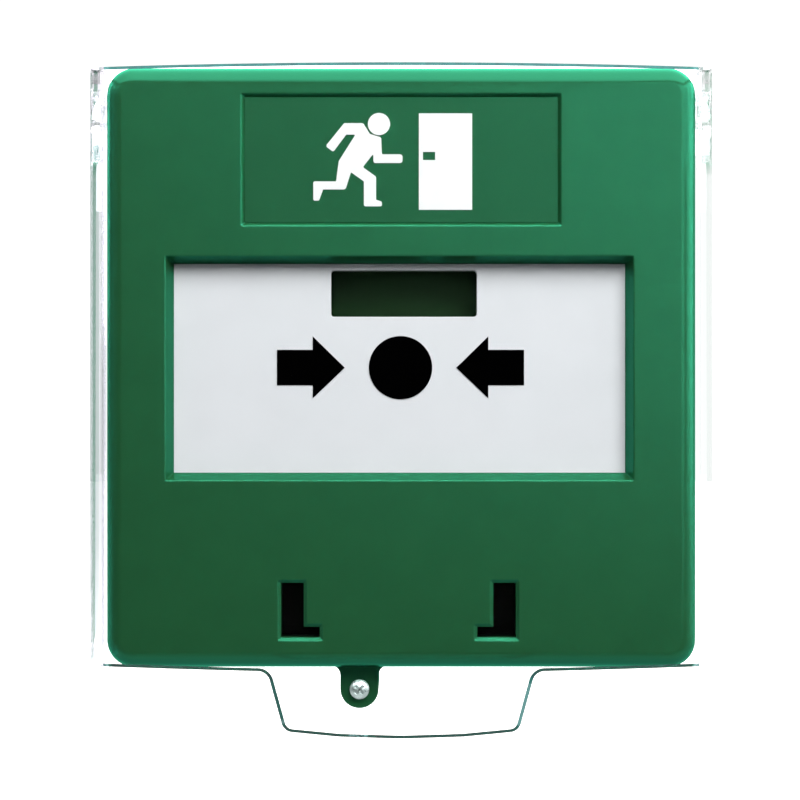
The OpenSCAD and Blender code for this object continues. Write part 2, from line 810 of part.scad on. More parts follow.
// Side outline of a cheek: [y, z, corner radius], and the round hinge boss.
module cheek_outline() {
  polygon(rounded([
    [cover_side_y - 6, cover_top, 0], [cover_side_y - 6, -cover_low, 0],
    [front_y + 3, -cover_low, 2.5], [front_y + 4.6, hinge_z - 9.5, 3],
    [hinge_y + 2.2, hinge_z - 4.2, 1.0], [hinge_y, cover_top - 0.1, 0],
    [hinge_y, cover_top, 0]
  ], 6));
  translate([hinge_y, hinge_z]) circle(r = cover_top - hinge_z, $fn = 64);
}

// Outer cylinder of the bow.
module bow_cylinder() {
  translate([0, bow_y, -70]) cylinder(r = bow_r, h = 140, $fn = 360);
}

module cover_face() {
  intersection() {
    difference() {
      bow_cylinder();
      translate([0, bow_y, -71]) cylinder(r = bow_r - cover_t, h = 142, $fn = 360);
    }
    front_slab(cover_side_y - 12, cover_side_y + 8) cover_outline();
  }
}

module cover_cheek(side) {
  intersection() {
    side_slab(side * cover_in, side * cover_half) cheek_outline();
    bow_cylinder();
    front_slab(cover_side_y - 12, 0) cover_outline();
  }
}

module clear_cover() {
  bump_in = cover_in - 0.25;
  bump_out = cover_in + 0.1;
  color([0.80, 0.92, 0.92, 0.35]) difference() {
    union() {
      cover_face();
      for (side = sides) {
        cover_cheek(side);
        // hinge peg
        rod_x(peg_r, side * (half_w - 1.9), side * (cover_in + 0.5), hinge_y, hinge_z);
        // stop rib and detent bump inside the cheek
        block([side * bump_in, front_y + 1.2, 30.2], [side * bump_out, front_y + 2.0, 33.8]);
        rod_x(0.55, side * bump_in, side * bump_out, front_y + 1.6, 28.6, fn = 32);
      }
    }
    // cored recess in each hinge boss
    for (side = sides)
      rod_x(2.0, side * (cover_half - 0.9), side * (cover_half + cut), hinge_y, hinge_z);
  }
}

// ---------- locking screw ----------

module locking_screw() {
  color("silver") translate([lug_x, lug_y, lug_z])
    pan_screw(head_r = 1.45, head_h = 1.15, shank_r = 1.0, shank_l = joint_y - lug_y + 2.6);
}

// ---------- assembly ----------

back_box();
lug_insert();
front_bezel();
exit_label();
exit_pictogram();
element_plate();
element_print();
element_springs();
inner_chassis();
chassis_screws();
indicator_flag();
reset_slider();
slider_springs();
switch_cases();
switch_lids();
switch_plungers();
switch_levers();
switch_terminals();
circuit_board();
board_screws();
terminal_block();
terminal_clamps();
terminal_screws();
terminal_pins();
clear_cover();
locking_screw();
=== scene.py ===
# A green wall-mounted exit call point: a box and bezel around a white press element, under a
# hinged clear cover. It stands upright with its front towards -Y, X to the right and Z up.
# The CAD pieces keep their meshes and get materials; the cover is modelled afresh.
import json
import math

import bmesh
import bpy
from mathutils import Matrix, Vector


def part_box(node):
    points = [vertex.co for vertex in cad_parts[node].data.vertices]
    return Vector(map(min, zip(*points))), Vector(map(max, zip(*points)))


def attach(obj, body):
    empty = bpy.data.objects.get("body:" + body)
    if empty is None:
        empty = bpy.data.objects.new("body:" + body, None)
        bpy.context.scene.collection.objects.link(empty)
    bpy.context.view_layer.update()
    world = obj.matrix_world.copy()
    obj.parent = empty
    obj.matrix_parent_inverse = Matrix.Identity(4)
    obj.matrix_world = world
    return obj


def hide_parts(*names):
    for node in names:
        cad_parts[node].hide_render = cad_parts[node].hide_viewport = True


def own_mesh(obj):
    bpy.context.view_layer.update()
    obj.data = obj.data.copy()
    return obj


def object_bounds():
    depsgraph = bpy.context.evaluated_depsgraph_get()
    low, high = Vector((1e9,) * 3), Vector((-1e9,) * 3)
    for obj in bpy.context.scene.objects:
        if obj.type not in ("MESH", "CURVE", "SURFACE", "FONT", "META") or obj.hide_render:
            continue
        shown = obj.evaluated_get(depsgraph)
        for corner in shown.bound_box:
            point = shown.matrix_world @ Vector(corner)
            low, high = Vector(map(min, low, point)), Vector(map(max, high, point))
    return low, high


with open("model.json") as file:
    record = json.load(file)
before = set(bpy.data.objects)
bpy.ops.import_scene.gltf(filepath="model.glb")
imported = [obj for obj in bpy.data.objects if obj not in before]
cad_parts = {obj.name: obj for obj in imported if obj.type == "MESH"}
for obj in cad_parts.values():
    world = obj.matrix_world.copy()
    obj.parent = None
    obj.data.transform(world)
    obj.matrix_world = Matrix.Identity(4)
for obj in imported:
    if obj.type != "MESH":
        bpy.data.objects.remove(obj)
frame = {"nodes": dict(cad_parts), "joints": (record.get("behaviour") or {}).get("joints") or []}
CAD_BOUNDS = [[float(c) for c in v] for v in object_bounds()]
NODES = frame["nodes"]
MM = 0.001

WHITE = (1.0, 1.0, 1.0, 1.0)
TEAL = (0.095, 1.0, 0.59, 1.0)
GREEN = (0.0142, 0.0765, 0.0262)


def joint(name):
    return next(entry for entry in frame["joints"] if entry["name"] == name)


# ---------------------------------------------------------------- shader nodes

class Nodes:
    """A shader node tree, emptied, with short calls for the nodes used here.

    Any value given may be a plain value or the output socket of another node."""

    def __init__(self, tree):
        self.tree = tree
        tree.nodes.clear()

    def add(self, kind, inputs=None, **props):
        node = self.tree.nodes.new("ShaderNode" + kind)
        for key, value in props.items():
            setattr(node, key, value)
        for key, value in (inputs or {}).items():
            if isinstance(value, bpy.types.NodeSocket):
                self.tree.links.new(value, node.inputs[key])
            else:
                node.inputs[key].default_value = value
        return node

    def first(self, kind, inputs=None, **props):
        """Adds a node and returns its first output."""
        return self.add(kind, inputs, **props).outputs[0]

    def split(self, vector):
        return self.add("SeparateXYZ", {0: vector}).outputs

    def math(self, operation, a, b=None, clamp=False):
        inputs = {0: a} if b is None else {0: a, 1: b}
        return self.first("Math", inputs, operation=operation, use_clamp=clamp)

    def times(self, a, b):
        return self.math("MULTIPLY", a, b)

    def highest(self, value, *others):
        for other in others:
            value = self.math("MAXIMUM", value, other)
        return value

    def remap(self, value, low, high, start=0.0, end=1.0, curve="LINEAR"):
        inputs = {"Value": value, "From Min": low, "From Max": high,
                  "To Min": start, "To Max": end}
        return self.add("MapRange", inputs, interpolation_type=curve).outputs["Result"]

    def ramp(self, value, *stops):
        """A colour ramp between two (position, colour) stops."""
        node = self.add("ValToRGB", {"Fac": value})
        for element, (position, colour) in zip(node.color_ramp.elements, stops):
            element.position = position
            element.color = (*colour[:3], 1.0)
        return node.outputs["Color"]

    def mix(self, share, a, b, mode="MIX"):
        # sockets 6, 7 and output 2 are the colour ones
        inputs = {0: share, 6: a, 7: b}
        return self.add("Mix", inputs, data_type="RGBA", blend_type=mode).outputs[2]

    def mix_shader(self, share, a, b):
        return self.first("MixShader", {0: share, 1: a, 2: b})


class Material(Nodes):
    """A node material whose patterns lie in object space."""

    def __init__(self, name):
        self.data = bpy.data.materials.new(name)
        self.data.use_nodes = True
        super().__init__(self.data.node_tree)
        self.coords = self.add("TexCoord").outputs["Object"]

    def noise(self, scale, detail=4.0, rough=0.6, coords=None):
        inputs = {"Vector": coords or self.coords, "Scale": scale,
                  "Detail": detail, "Roughness": rough}
        return self.add("TexNoise", inputs).outputs["Fac"]

    def bevel(self, radius):
        return self.first("Bevel", {"Radius": radius}, samples=6)

    def lighten_edges(self, colour, base, rounding, share, gain):
        """Blends towards a lighter base colour where the surface turns an edge: a painted edge
        highlight on the plastics, bright worn edges on the metals.
        """
        normal = self.add("NewGeometry").outputs["Normal"]
        flatness = self.add("VectorMath", {0: self.bevel(rounding * 2.2), 1: normal},
                            operation="DOT_PRODUCT").outputs["Value"]
        edge = self.remap(flatness, 0.995, 0.80)
        return self.mix(self.times(edge, share), colour, scaled(base, gain))

    def bump(self, height, strength, distance, rounding=0.0):
        inputs = {"Strength": strength, "Distance": distance, "Height": height}
        if rounding:
            inputs["Normal"] = self.bevel(rounding)
        return self.first("Bump", inputs)

    def finish(self, surface):
        self.add("OutputMaterial", {"Surface": surface})
        return self.data


def scaled(colour, factor):
    return (colour[0] * factor, colour[1] * factor, colour[2] * factor, 1.0)


# ---------------------------------------------------------------- opaque materials

def plastic(name, base, rough, grain, vary, grain_scale=5200.0, spec=0.5, edge_gain=1.35,
            rounding=0.00018, mottle=160.0, sheen=0.0, gloss_var=0.012, soft=None):
    """Moulded plastic: slow colour drift, fine mould grain, uneven gloss, and edges lightened as
    a painted highlight.

    vary and mottle set the depth and scale of the drift, grain and grain_scale those of the
    bumps. rounding is the edge radius in metres; soft replaces it in the shading normal.
    sheen swaps the plain highlight for a teal gloss layer."""
    mat = Material(name)
    drift = mat.noise(mottle)
    colour = mat.ramp(drift, (0.28, scaled(base, 1.0 - vary)), (0.72, scaled(base, 1.0 + vary)))
    # painted highlight: a lighter colour along every edge
    colour = mat.lighten_edges(colour, base, rounding, share=0.35, gain=edge_gain)
    gloss = mat.noise(900.0, detail=2.0, rough=0.5)

    def uneven(middle):
        return mat.remap(gloss, 0.3, 0.7, middle - gloss_var, middle + gloss_var)

    normal = mat.bump(mat.noise(grain_scale, detail=2.0), strength=grain, distance=0.00005,
                      rounding=rounding if soft is None else soft)
    surface = mat.first("BsdfPrincipled", {
        "Base Color": colour, "Roughness": uneven(rough), "IOR": 1.5, "Normal": normal,
        "Specular IOR Level": 0.0 if sheen else spec,
        "Specular Tint": TEAL if sheen else WHITE})
    if sheen:
        facing = mat.first("Fresnel", {"IOR": 1.45, "Normal": normal})
        layer = mat.first("BsdfAnisotropic", {
            "Color": TEAL, "Normal": normal, "Roughness": uneven(rough + 0.05)})
        share = mat.times(mat.math("ADD", facing, 0.02), sheen)
        surface = mat.mix_shader(mat.math("MINIMUM", share, 0.20), surface, layer)
    return mat.finish(surface)


def metal(name, base, rough, wear=0.2, brush=(1, 1, 1)):
    """Plated or drawn metal: hairlines stretched by brush, dull patches and bright edges."""
    rounding = 0.00010
    mat = Material(name)
    stretched = mat.first("Mapping", {"Vector": mat.coords, "Scale": brush})
    hair = mat.noise(2500.0, detail=3.0, coords=stretched)
    colour = mat.ramp(mat.noise(900.0), (0.3, scaled(base, 0.80)), (0.7, scaled(base, 1.08)))
    colour = mat.lighten_edges(colour, base, rounding, share=wear, gain=1.35)
    return mat.finish(mat.first("BsdfPrincipled", {
        "Base Color": colour, "Metallic": 1.0,
        "Roughness": mat.remap(hair, 0.25, 0.75, rough - 0.08, rough + 0.12),
        "Normal": mat.bump(hair, strength=0.08, distance=0.00003, rounding=rounding)}))


def circuit_board(name):
    """Green solder mask over tracks; each 2 x 2 cell of the grid runs them one way at random."""
    pitches_per_metre = 1000.0 / 2.54
    track_half_width = 0.16
    mat = Material(name)
    axes = mat.split(mat.coords)
    cells, lines = [], []
    for axis in ("X", "Z"):
        place = mat.times(axes[axis], pitches_per_metre)
        cells.append(mat.math("FLOOR", mat.times(place, 0.5)))
        offset = mat.math("SUBTRACT", mat.math("FRACT", place), 0.5)
        lines.append(mat.math("LESS_THAN", mat.math("ABSOLUTE", offset), track_half_width))
    cell = mat.first("CombineXYZ", {0: cells[0], 1: cells[1]})
    chance = mat.add("TexWhiteNoise", noise_dimensions="2D")
    mat.tree.links.new(cell, chance.inputs["Vector"])
    pick = mat.math("GREATER_THAN", chance.outputs["Value"], 0.5)
    track = mat.math("ADD", mat.times(lines[0], pick),
                     mat.times(lines[1], mat.math("SUBTRACT", 1.0, pick)), clamp=True)
    mask = mat.ramp(mat.noise(260.0, detail=3.0, rough=0.55),
                    (0.3, (0.006, 0.080, 0.022)), (0.7, (0.009, 0.105, 0.030)))
    return mat.finish(mat.first("BsdfPrincipled", {
        "Base Color": mat.mix(mat.times(track, 0.75), mask, (0.02, 0.20, 0.06, 1)),
        "Roughness": 0.3,
        "Normal": mat.bump(track, strength=0.35, distance=0.00004)}))


def dress(material, *pieces):
    """Makes the material the only one on each named CAD piece."""
    for piece in pieces:
        mesh = NODES[piece].data
        mesh.materials.clear()
        mesh.materials.append(material)
        for polygon in mesh.polygons:
            polygon.material_index = 0


def dress_pieces():
    dress(plastic("green_abs", GREEN, rough=0.15, sheen=1.2, vary=0.05, grain=0.015,
                  edge_gain=1.7, rounding=0.00020, soft=0.00042, gloss_var=0.0),
          "front_bezel")
    dress(plastic("green_box", scaled(GREEN, 0.96), rough=0.28, sheen=0.9, vary=0.06,
                  grain=0.10, grain_scale=3600, edge_gain=1.7, rounding=0.00022),
          "back_box")
    dress(plastic("green_chassis", (0.0085, 0.033, 0.0100), rough=0.5, spec=0.1,
                  grain=0.08, vary=0.06),
          "inner_chassis")
    dress(plastic("green_label", (0.0140, 0.0690, 0.0255), rough=0.22, sheen=0.8,
                  grain=0.012, grain_scale=2600, vary=0.03, rounding=0.0, gloss_var=0.0),
          "exit_label")
    dress(plastic("white_print", (0.93, 0.93, 0.93), rough=0.45, grain=0.05, vary=0.015,
                  edge_gain=1.0, rounding=0.00003, mottle=600),
          "exit_pictogram")
    dress(plastic("white_abs", (0.735, 0.745, 0.772), rough=0.42, grain=0.05, vary=0.022,
                  edge_gain=1.05, mottle=140, spec=0.45),
          "element_plate")
    dress(plastic("black_print", (0.0004, 0.0004, 0.0005), rough=0.5, grain=0.04, vary=0.15,
                  edge_gain=1.2, rounding=0.00003, spec=0.0),
          "element_print")
    dress(plastic("black_pom", (0.0006, 0.0006, 0.0006), rough=0.5, grain=0.10, vary=0.15,
                  edge_gain=2.2, spec=0.05),
          "reset_slider")
    dress(plastic("yellow_flag", (0.80, 0.52, 0.02), rough=0.45, grain=0.06, vary=0.04,
                  edge_gain=1.15),
          "indicator_flag")
    dress(plastic("switch_black", (0.018, 0.018, 0.020), rough=0.55, grain=0.15, vary=0.12,
                  edge_gain=1.8),
          "switch_cases")
    dress(plastic("switch_red", (0.23, 0.020, 0.014), rough=0.5, grain=0.12, vary=0.08,
                  edge_gain=1.4),
          "switch_lids")
    dress(plastic("ivory_plunger", (0.74, 0.69, 0.55), rough=0.4, grain=0.04, vary=0.04,
                  edge_gain=1.1),
          "switch_plungers")
    dress(plastic("terminal_green", (0.015, 0.20, 0.075), rough=0.5, grain=0.12, vary=0.07,
                  edge_gain=1.5),
          "terminal_block")
    dress(metal("zinc_plate", (0.66, 0.68, 0.70), rough=0.26, wear=0.5),
          "terminal_screws", "chassis_screws", "board_screws")
    dress(metal("screw_steel", (0.42, 0.49, 0.48), rough=0.30, wear=0.25), "locking_screw")
    dress(metal("spring_wire", (0.52, 0.52, 0.54), rough=0.22),
          "element_springs", "slider_springs")
    dress(metal("stainless_strip", (0.60, 0.60, 0.60), rough=0.25, brush=(0.15, 1, 1)),
          "switch_levers")
    dress(metal("brass_stamped", (0.78, 0.55, 0.22), rough=0.28, wear=0.4),
          "switch_terminals", "lug_insert", "terminal_clamps")
    dress(metal("tinned_pin", (0.74, 0.74, 0.74), rough=0.3), "terminal_pins")
    dress(circuit_board("board_mask"), "circuit_board")


dress_pieces()


# ---------------------------------------------------------------- clear materials

CLEAR_IOR = 1.57


def clear_material(name, tints, edge=0.0, cheek=False):
    """Polished clear polycarbonate: refraction, a soft mirror that rises towards grazing angles,
    a breath of surface ripple and haze. Light for shadows and soft bounces passes straight
    through. tints are the two ends of the haze colour, edge is the share of the painted dark teal
    rim, and cheek tells the left and right side walls apart, for painted shade on the left wall."""
    mat = Material(name)
    haze = mat.noise(90.0)
    polish = {"Roughness": mat.remap(haze, 0.3, 0.8, 0.0, 0.018),
              "Normal": mat.bump(mat.noise(45.0, detail=2.0, rough=0.5),
                                 strength=0.04, distance=0.0002)}
    tint = mat.ramp(haze, (0.2, tints[0]), (0.8, tints[1]))
    path = mat.add("LightPath").outputs
    through = mat.highest(path["Is Shadow Ray"], path["Is Diffuse Ray"])
    clear_tint = (0.985, 0.990, 0.992, 1)
    if cheek:
        # painted light and shade, as the light falls from the right: the left wall is tinted
        # darker and lets less of the white behind straight through than the right
        axes = mat.split(mat.coords)
        right = mat.remap(axes["X"], -0.001, 0.001)
        tint = mat.mix(right, mat.mix(1.0, tint, (1.0, 0.975, 1.0, 1), "MULTIPLY"), tint)
        clear_tint = mat.mix(mat.highest(right, through),
                             (0.985, 0.965, 1.0, 1), (0.994, 0.996, 0.998, 1))
        low_down = mat.remap(axes["Z"], 0.032, 0.028, 0.45, 1.0)
        plain = mat.times(low_down, mat.remap(right, 0.0, 1.0, start=0.5, end=0.9))
        through = mat.highest(through, plain)

    bend = mat.first("BsdfRefraction", {"IOR": CLEAR_IOR, "Color": tint, **polish})
    mirror = mat.first("BsdfAnisotropic", {"Color": WHITE, **polish})
    facing = mat.first("Fresnel", {"IOR": CLEAR_IOR, "Normal": polish["Normal"]})
    surface = mat.mix_shader(mat.remap(facing, 0.047, 1.0), bend, mirror)
    if edge:
        # painted dark teal rim, standing in for the light trapped along the sheet
        streak = mat.noise(700.0, detail=3.0)
        rim = mat.first("BsdfPrincipled", {
            "Base Color": mat.ramp(streak, (0.3, (0.006, 0.115, 0.120)),
                                   (0.7, (0.020, 0.230, 0.215))),
            "Roughness": 0.25})
        surface = mat.mix_shader(edge, surface, rim)
    clear = mat.first("BsdfTransparent", {"Color": clear_tint})
    return mat.finish(mat.mix_shader(through, surface, clear))


clear_face = clear_material("clear_polycarbonate",
                            tints=((0.985, 0.996, 0.994), (0.995, 1.0, 0.999)))
clear_cheek = clear_material("clear_polycarbonate_cheek", cheek=True,
                             tints=((0.955, 0.965, 0.980), (0.975, 0.982, 0.990)))
# the rims and chamfers of the cover carry the painted dark teal rim over a strongly teal haze
clear_rim = clear_material("clear_polycarbonate_rim", edge=0.75,
                           tints=((0.60, 0.88, 0.86), (0.70, 0.92, 0.90)))
clear_line = clear_material("clear_polycarbonate_edge", edge=0.82,
                            tints=((0.50, 0.85, 0.82), (0.60, 0.90, 0.88)))


# ---------------------------------------------------------------- solids

def rounded(corners, steps):
    """Closed outline through (x, y, radius) corners, each corner an arc of that radius."""
    outline = []
    count = len(corners)
    for i in range(count):
        before, here, after = (Vector(corners[(i + k) % count][:2]) for k in (-1, 0, 1))
        radius = corners[i][2]
        back, ahead = (before - here).normalized(), (after - here).normalized()
        half_angle = math.acos(max(-1.0, min(1.0, back.dot(ahead)))) / 2
        if radius <= 0 or half_angle > math.radians(89.5):
            outline.append(here)
            continue
        reach = radius / math.tan(half_angle)
        centre = here + (back + ahead).normalized() * (radius / math.sin(half_angle))
        first, last = here + back * reach - centre, here + ahead * reach - centre
        start = math.atan2(first.y, first.x)
        turn = math.atan2(first.x * last.y - first.y * last.x, first.dot(last))
        for k in range(steps + 1):
            angle = start + turn * k / steps
            outline.append(centre + Vector((math.cos(angle), math.sin(angle))) * radius)
    return outline


def circle(radius, steps, x, y):
    angles = [2 * math.pi * k / steps for k in range(steps)]
    return [Vector((x + radius * math.cos(a), y + radius * math.sin(a))) for a in angles]


def to_object(name, shape):
    mesh = bpy.data.meshes.new(name)
    shape.to_mesh(mesh)
    shape.free()
    made = bpy.data.objects.new(name, mesh)
    bpy.context.scene.collection.objects.link(made)
    return made


def prism(name, outline, axis, start, end):
    """A closed solid: a flat outline in the other two axes, swept along axis."""
    shape = bmesh.new()
    rings = []
    for height in (start, end):
        ring = []
        for point in outline:
            place = list(point)
            place.insert("xyz".index(axis), height)
            ring.append(shape.verts.new(place))
        rings.append(ring)
    count = len(outline)
    for i in range(count):
        j = (i + 1) % count
        shape.faces.new((rings[0][i], rings[0][j], rings[1][j], rings[1][i]))
    shape.faces.new(rings[0])
    shape.faces.new(list(reversed(rings[1])))
    bmesh.ops.recalc_face_normals(shape, faces=shape.faces)
    return to_object(name, shape)


def bake(target):
    """Applies the modifiers."""
    graph = bpy.context.evaluated_depsgraph_get()
    mesh = bpy.data.meshes.new_from_object(target.evaluated_get(graph))
    target.modifiers.clear()
    target.data = mesh


def combine(target, tool, operation):
    modifier = target.modifiers.new("cut", "BOOLEAN")
    modifier.operation = operation
    modifier.solver = "EXACT"
    modifier.object = tool
    bake(target)
    bpy.data.objects.remove(tool)


# ---------------------------------------------------------------- clear cover, in millimetres

cover_min, cover_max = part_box("clear_cover")
bezel_min, bezel_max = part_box("front_bezel")
HINGE = Vector(joint("cover_flip")["pos_m"]) / MM
HALF = cover_max.x / MM
TOP = cover_max.z / MM
FRONT = cover_min.y / MM
BEZEL_FACE = bezel_min.y / MM
BOTTOM = -(bezel_max.z / MM - 0.62)
SHEET = 1.6
INNER = HALF - SHEET

# the face is bowed about a vertical axis
BOW = BEZEL_FACE - 4.0 - FRONT
BOW_RADIUS = (HALF * HALF + BOW * BOW) / (2 * BOW)
BOW_CENTRE = FRONT + BOW_RADIUS
BLANK_BACK = -30.0

# lift tab below the face: x, drop below BOTTOM, corner radius
TAB_HALF = 19.4
TAB_DROP = 0.3
TAB = [(x, BOTTOM - drop, radius) for x, drop, radius in (
    (-TAB_HALF, TAB_DROP, 1.8), (-17.0, 8.95, 1.7), (-9.0, 9.65, 20.0), (0.0, 9.9, 60.0),
    (9.0, 9.65, 20.0), (17.0, 8.95, 1.7), (TAB_HALF, TAB_DROP, 1.8))]

CHAMFER = 0.50
CHAMFER_STEP = 0.9      # longest stretch between cutter sections
CHAMFER_OVERRUN = 1.5   # how far the cutters pass the sides

EAR_RADIUS = TOP - HINGE.z
PIN_RADIUS = 1.8
PIN_END = 41.6
RECESS_RADIUS = 2.0
RECESS_DEPTH = 0.9
END_CUT = 1.6           # distance of the cross cuts from top and bottom


def bow_y(x, radius):
    return BOW_CENTRE - math.sqrt(radius * radius - x * x)


def wall(start_side, half, radius, inset, fillet):
    """Open outline (x, y) from the back of one cheek, across the face, to the other's back.

    start_side is -1 to start on the left, 1 on the right; the bow stops inset from the cheeks."""
    steps = 120
    limit = half - inset
    bow = [Vector((x, bow_y(x, radius)))
           for x in (-limit + 2 * limit * k / steps for k in range(steps + 1))]
    if start_side > 0:
        bow.reverse()

    def corner(before, here, after):
        return rounded([(*before, 0), (*here, fillet), (*after, 0)], steps=6)[1:-1]

    start_x, end_x = start_side * half, -start_side * half
    corner_y = bow_y(half, radius)
    return [Vector((start_x, BLANK_BACK)),
            *corner((start_x, BLANK_BACK), (start_x, corner_y), bow[0]),
            *bow,
            *corner(bow[-1], (end_x, corner_y), (end_x, BLANK_BACK)),
            Vector((end_x, BLANK_BACK))]


def front_outline():
    """The cover seen from the front (x, z), with the lift tab."""
    return rounded([(-HALF, TOP, 0.8), (-HALF, BOTTOM, 1.6), *TAB,
                    (HALF, BOTTOM, 1.6), (HALF, TOP, 0.8)], steps=10)


def side_outline():
    """The cover seen from the side (y, z): shallow cheeks, deeper round ears at the hinge."""
    clear_of_front = FRONT - 8
    below_tab = BOTTOM - 12
    angles = [math.radians(90) - math.radians(k * 6) for k in range(1, 24)]
    ear = [Vector((HINGE.y + EAR_RADIUS * math.cos(a), HINGE.z + EAR_RADIUS * math.sin(a)))
           for a in angles]
    tail = rounded([(*ear[-1], 0), (BEZEL_FACE + 4.6, HINGE.z - 9.5, 3),
                    (BEZEL_FACE + 3, BOTTOM, 2.5), (clear_of_front, BOTTOM, 0)], steps=8)
    return [Vector((clear_of_front, TOP)), Vector((HINGE.y, TOP)), *ear, *tail[1:-1],
            Vector((BEZEL_FACE - 1.0, below_tab)), Vector((clear_of_front, below_tab))]


def chamfer_cutter(points, inward):
    """A three-sided bar that follows (x, z) points along the front of the bowed face.

    inward is 1 or -1, the side of the line on which the cover lies."""
    over = 0.5
    line = [points[0]]
    for point in points[1:]:
        start = line[-1]
        count = max(1, math.ceil((point - start).length / CHAMFER_STEP))
        line += [start.lerp(point, k / count) for k in range(1, count + 1)]
    shape = bmesh.new()
    rings = []
    for i, point in enumerate(line):
        along = (line[min(i + 1, len(line) - 1)] - line[max(i - 1, 0)]).normalized()
        across = Vector((-along.y, along.x)) * inward
        skin = bow_y(max(-HALF + 0.5, min(HALF - 0.5, point.x)), BOW_RADIUS)
        ring = []
        for offset, depth in ((CHAMFER + over, -over), (-over, CHAMFER + over), (-over, -over)):
            place = point + across * offset
            ring.append(shape.verts.new((place.x, skin + depth, place.y)))
        rings.append(ring)
    for a, b in zip(rings, rings[1:]):
        for k in range(3):
            shape.faces.new((a[k], b[k], b[(k + 1) % 3], a[(k + 1) % 3]))
    shape.faces.new(rings[0])
    shape.faces.new(list(reversed(rings[-1])))
    bmesh.ops.recalc_face_normals(shape, faces=shape.faces)
    return to_object("chamfer", shape)


def chamfer_face(body):
    """Chamfers the front of the top edge, then of the lower edge with the tab."""
    end = HALF + CHAMFER_OVERRUN
    end_z = BOTTOM + CHAMFER_OVERRUN * (TAB_DROP / (HALF - TAB_HALF))
    top_edge = [Vector((-end, TOP)), Vector((end, TOP))]
    low_edge = rounded([(-end, end_z, 0), *TAB, (end, end_z, 0)], steps=10)
    combine(body, chamfer_cutter(top_edge, inward=-1), "DIFFERENCE")
    combine(body, chamfer_cutter(low_edge, inward=1), "DIFFERENCE")


def detail_cheeks(body):
    """Hinge pin and recess, stop rib and detent bump on each cheek."""
    rib = rounded([(BEZEL_FACE + 1.2, 30.2, 0.2), (BEZEL_FACE + 2.0, 30.2, 0.2),
                   (BEZEL_FACE + 2.0, 33.8, 0.2), (BEZEL_FACE + 1.2, 33.8, 0.2)], steps=3)
    # outline (y, z), distances of its two ends from the middle, operation
    details = (
        (circle(PIN_RADIUS, 40, HINGE.y, HINGE.z), INNER + 0.5, PIN_END, "UNION"),
        (circle(RECESS_RADIUS, 48, HINGE.y, HINGE.z), HALF - RECESS_DEPTH, HALF + 2,
         "DIFFERENCE"),
        (rib, INNER - 0.25, INNER + 0.1, "UNION"),
        (circle(0.55, 24, BEZEL_FACE + 1.6, 28.6), INNER - 0.25, INNER + 0.1, "UNION"),
    )
    for side in (-1, 1):
        for outline, near, far, operation in details:
            start, end = sorted((side * near, side * far))
            combine(body, prism("detail", outline, "x", start, end), operation)


def tidy_mesh(mesh):
    """Scales to metres, merges slivers and adds cross cuts near both ends of the face."""
    for vertex in mesh.vertices:
        vertex.co *= MM
    shape = bmesh.new()
    shape.from_mesh(mesh)
    bmesh.ops.remove_doubles(shape, verts=shape.verts, dist=3e-6)
    bmesh.ops.dissolve_degenerate(shape, dist=1e-6, edges=shape.edges)
    bmesh.ops.recalc_face_normals(shape, faces=shape.faces)
    # the cross cuts keep the shading of the long strips true
    for z in (BOTTOM + END_CUT, TOP - END_CUT):
        bmesh.ops.bisect_plane(shape, geom=shape.verts[:] + shape.edges[:] + shape.faces[:],
                               plane_co=(0, 0, z * MM), plane_no=(0, 0, 1))
    shape.to_mesh(mesh)
    shape.free()


def smooth_shading(body):
    for polygon in body.data.polygons:
        polygon.use_smooth = True
    body.data.set_sharp_from_angle(angle=math.radians(30))
    modifier = body.modifiers.new("normals", "WEIGHTED_NORMAL")
    modifier.mode = "FACE_AREA"
    modifier.weight = 100
    modifier.keep_sharp = True
    bake(body)


def assign_clear(mesh):
    """Face, cheeks, rims and chamfers each get their own clear material."""
    mesh.materials.clear()
    for material in (clear_face, clear_cheek, clear_rim, clear_line):
        mesh.materials.append(material)
    cheek_x = (INNER - 0.6) * MM
    for polygon in mesh.polygons:
        centre, normal = polygon.center, polygon.normal
        on_tab_side = abs(normal.x) > 0.25 and centre.z < BOTTOM * MM
        if abs(centre.x) > cheek_x:
            polygon.material_index = 1
        elif abs(normal.z) > 0.15 or on_tab_side:
            polygon.material_index = 3 if abs(normal.y) > 0.3 else 2


def build_cover():
    plan = (wall(-1, HALF, BOW_RADIUS, inset=1.0, fillet=0.9)
            + wall(1, INNER, BOW_RADIUS - SHEET, inset=0.9, fillet=0.7))
    body = prism("clear_cover_moulding", plan, "z", -60, 50)
    combine(body, prism("front", front_outline(), "y", -70, -20), "INTERSECT")
    chamfer_face(body)
    combine(body, prism("side", side_outline(), "x", -50, 50), "INTERSECT")
    detail_cheeks(body)
    tidy_mesh(body.data)
    smooth_shading(body)
    assign_clear(body.data)
    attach(body, "flip_cover")
    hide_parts("clear_cover")


build_cover()
dress(clear_face, "clear_cover")


# ---------------------------------------------------------------- springs

def coil_squash(node):
    """Gives the spring piece a mesh of its own; the coils are left as they are."""
    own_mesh(NODES[node])


coil_squash("element_springs")
coil_squash("slider_springs")


# ---------------------------------------------------------------- floor

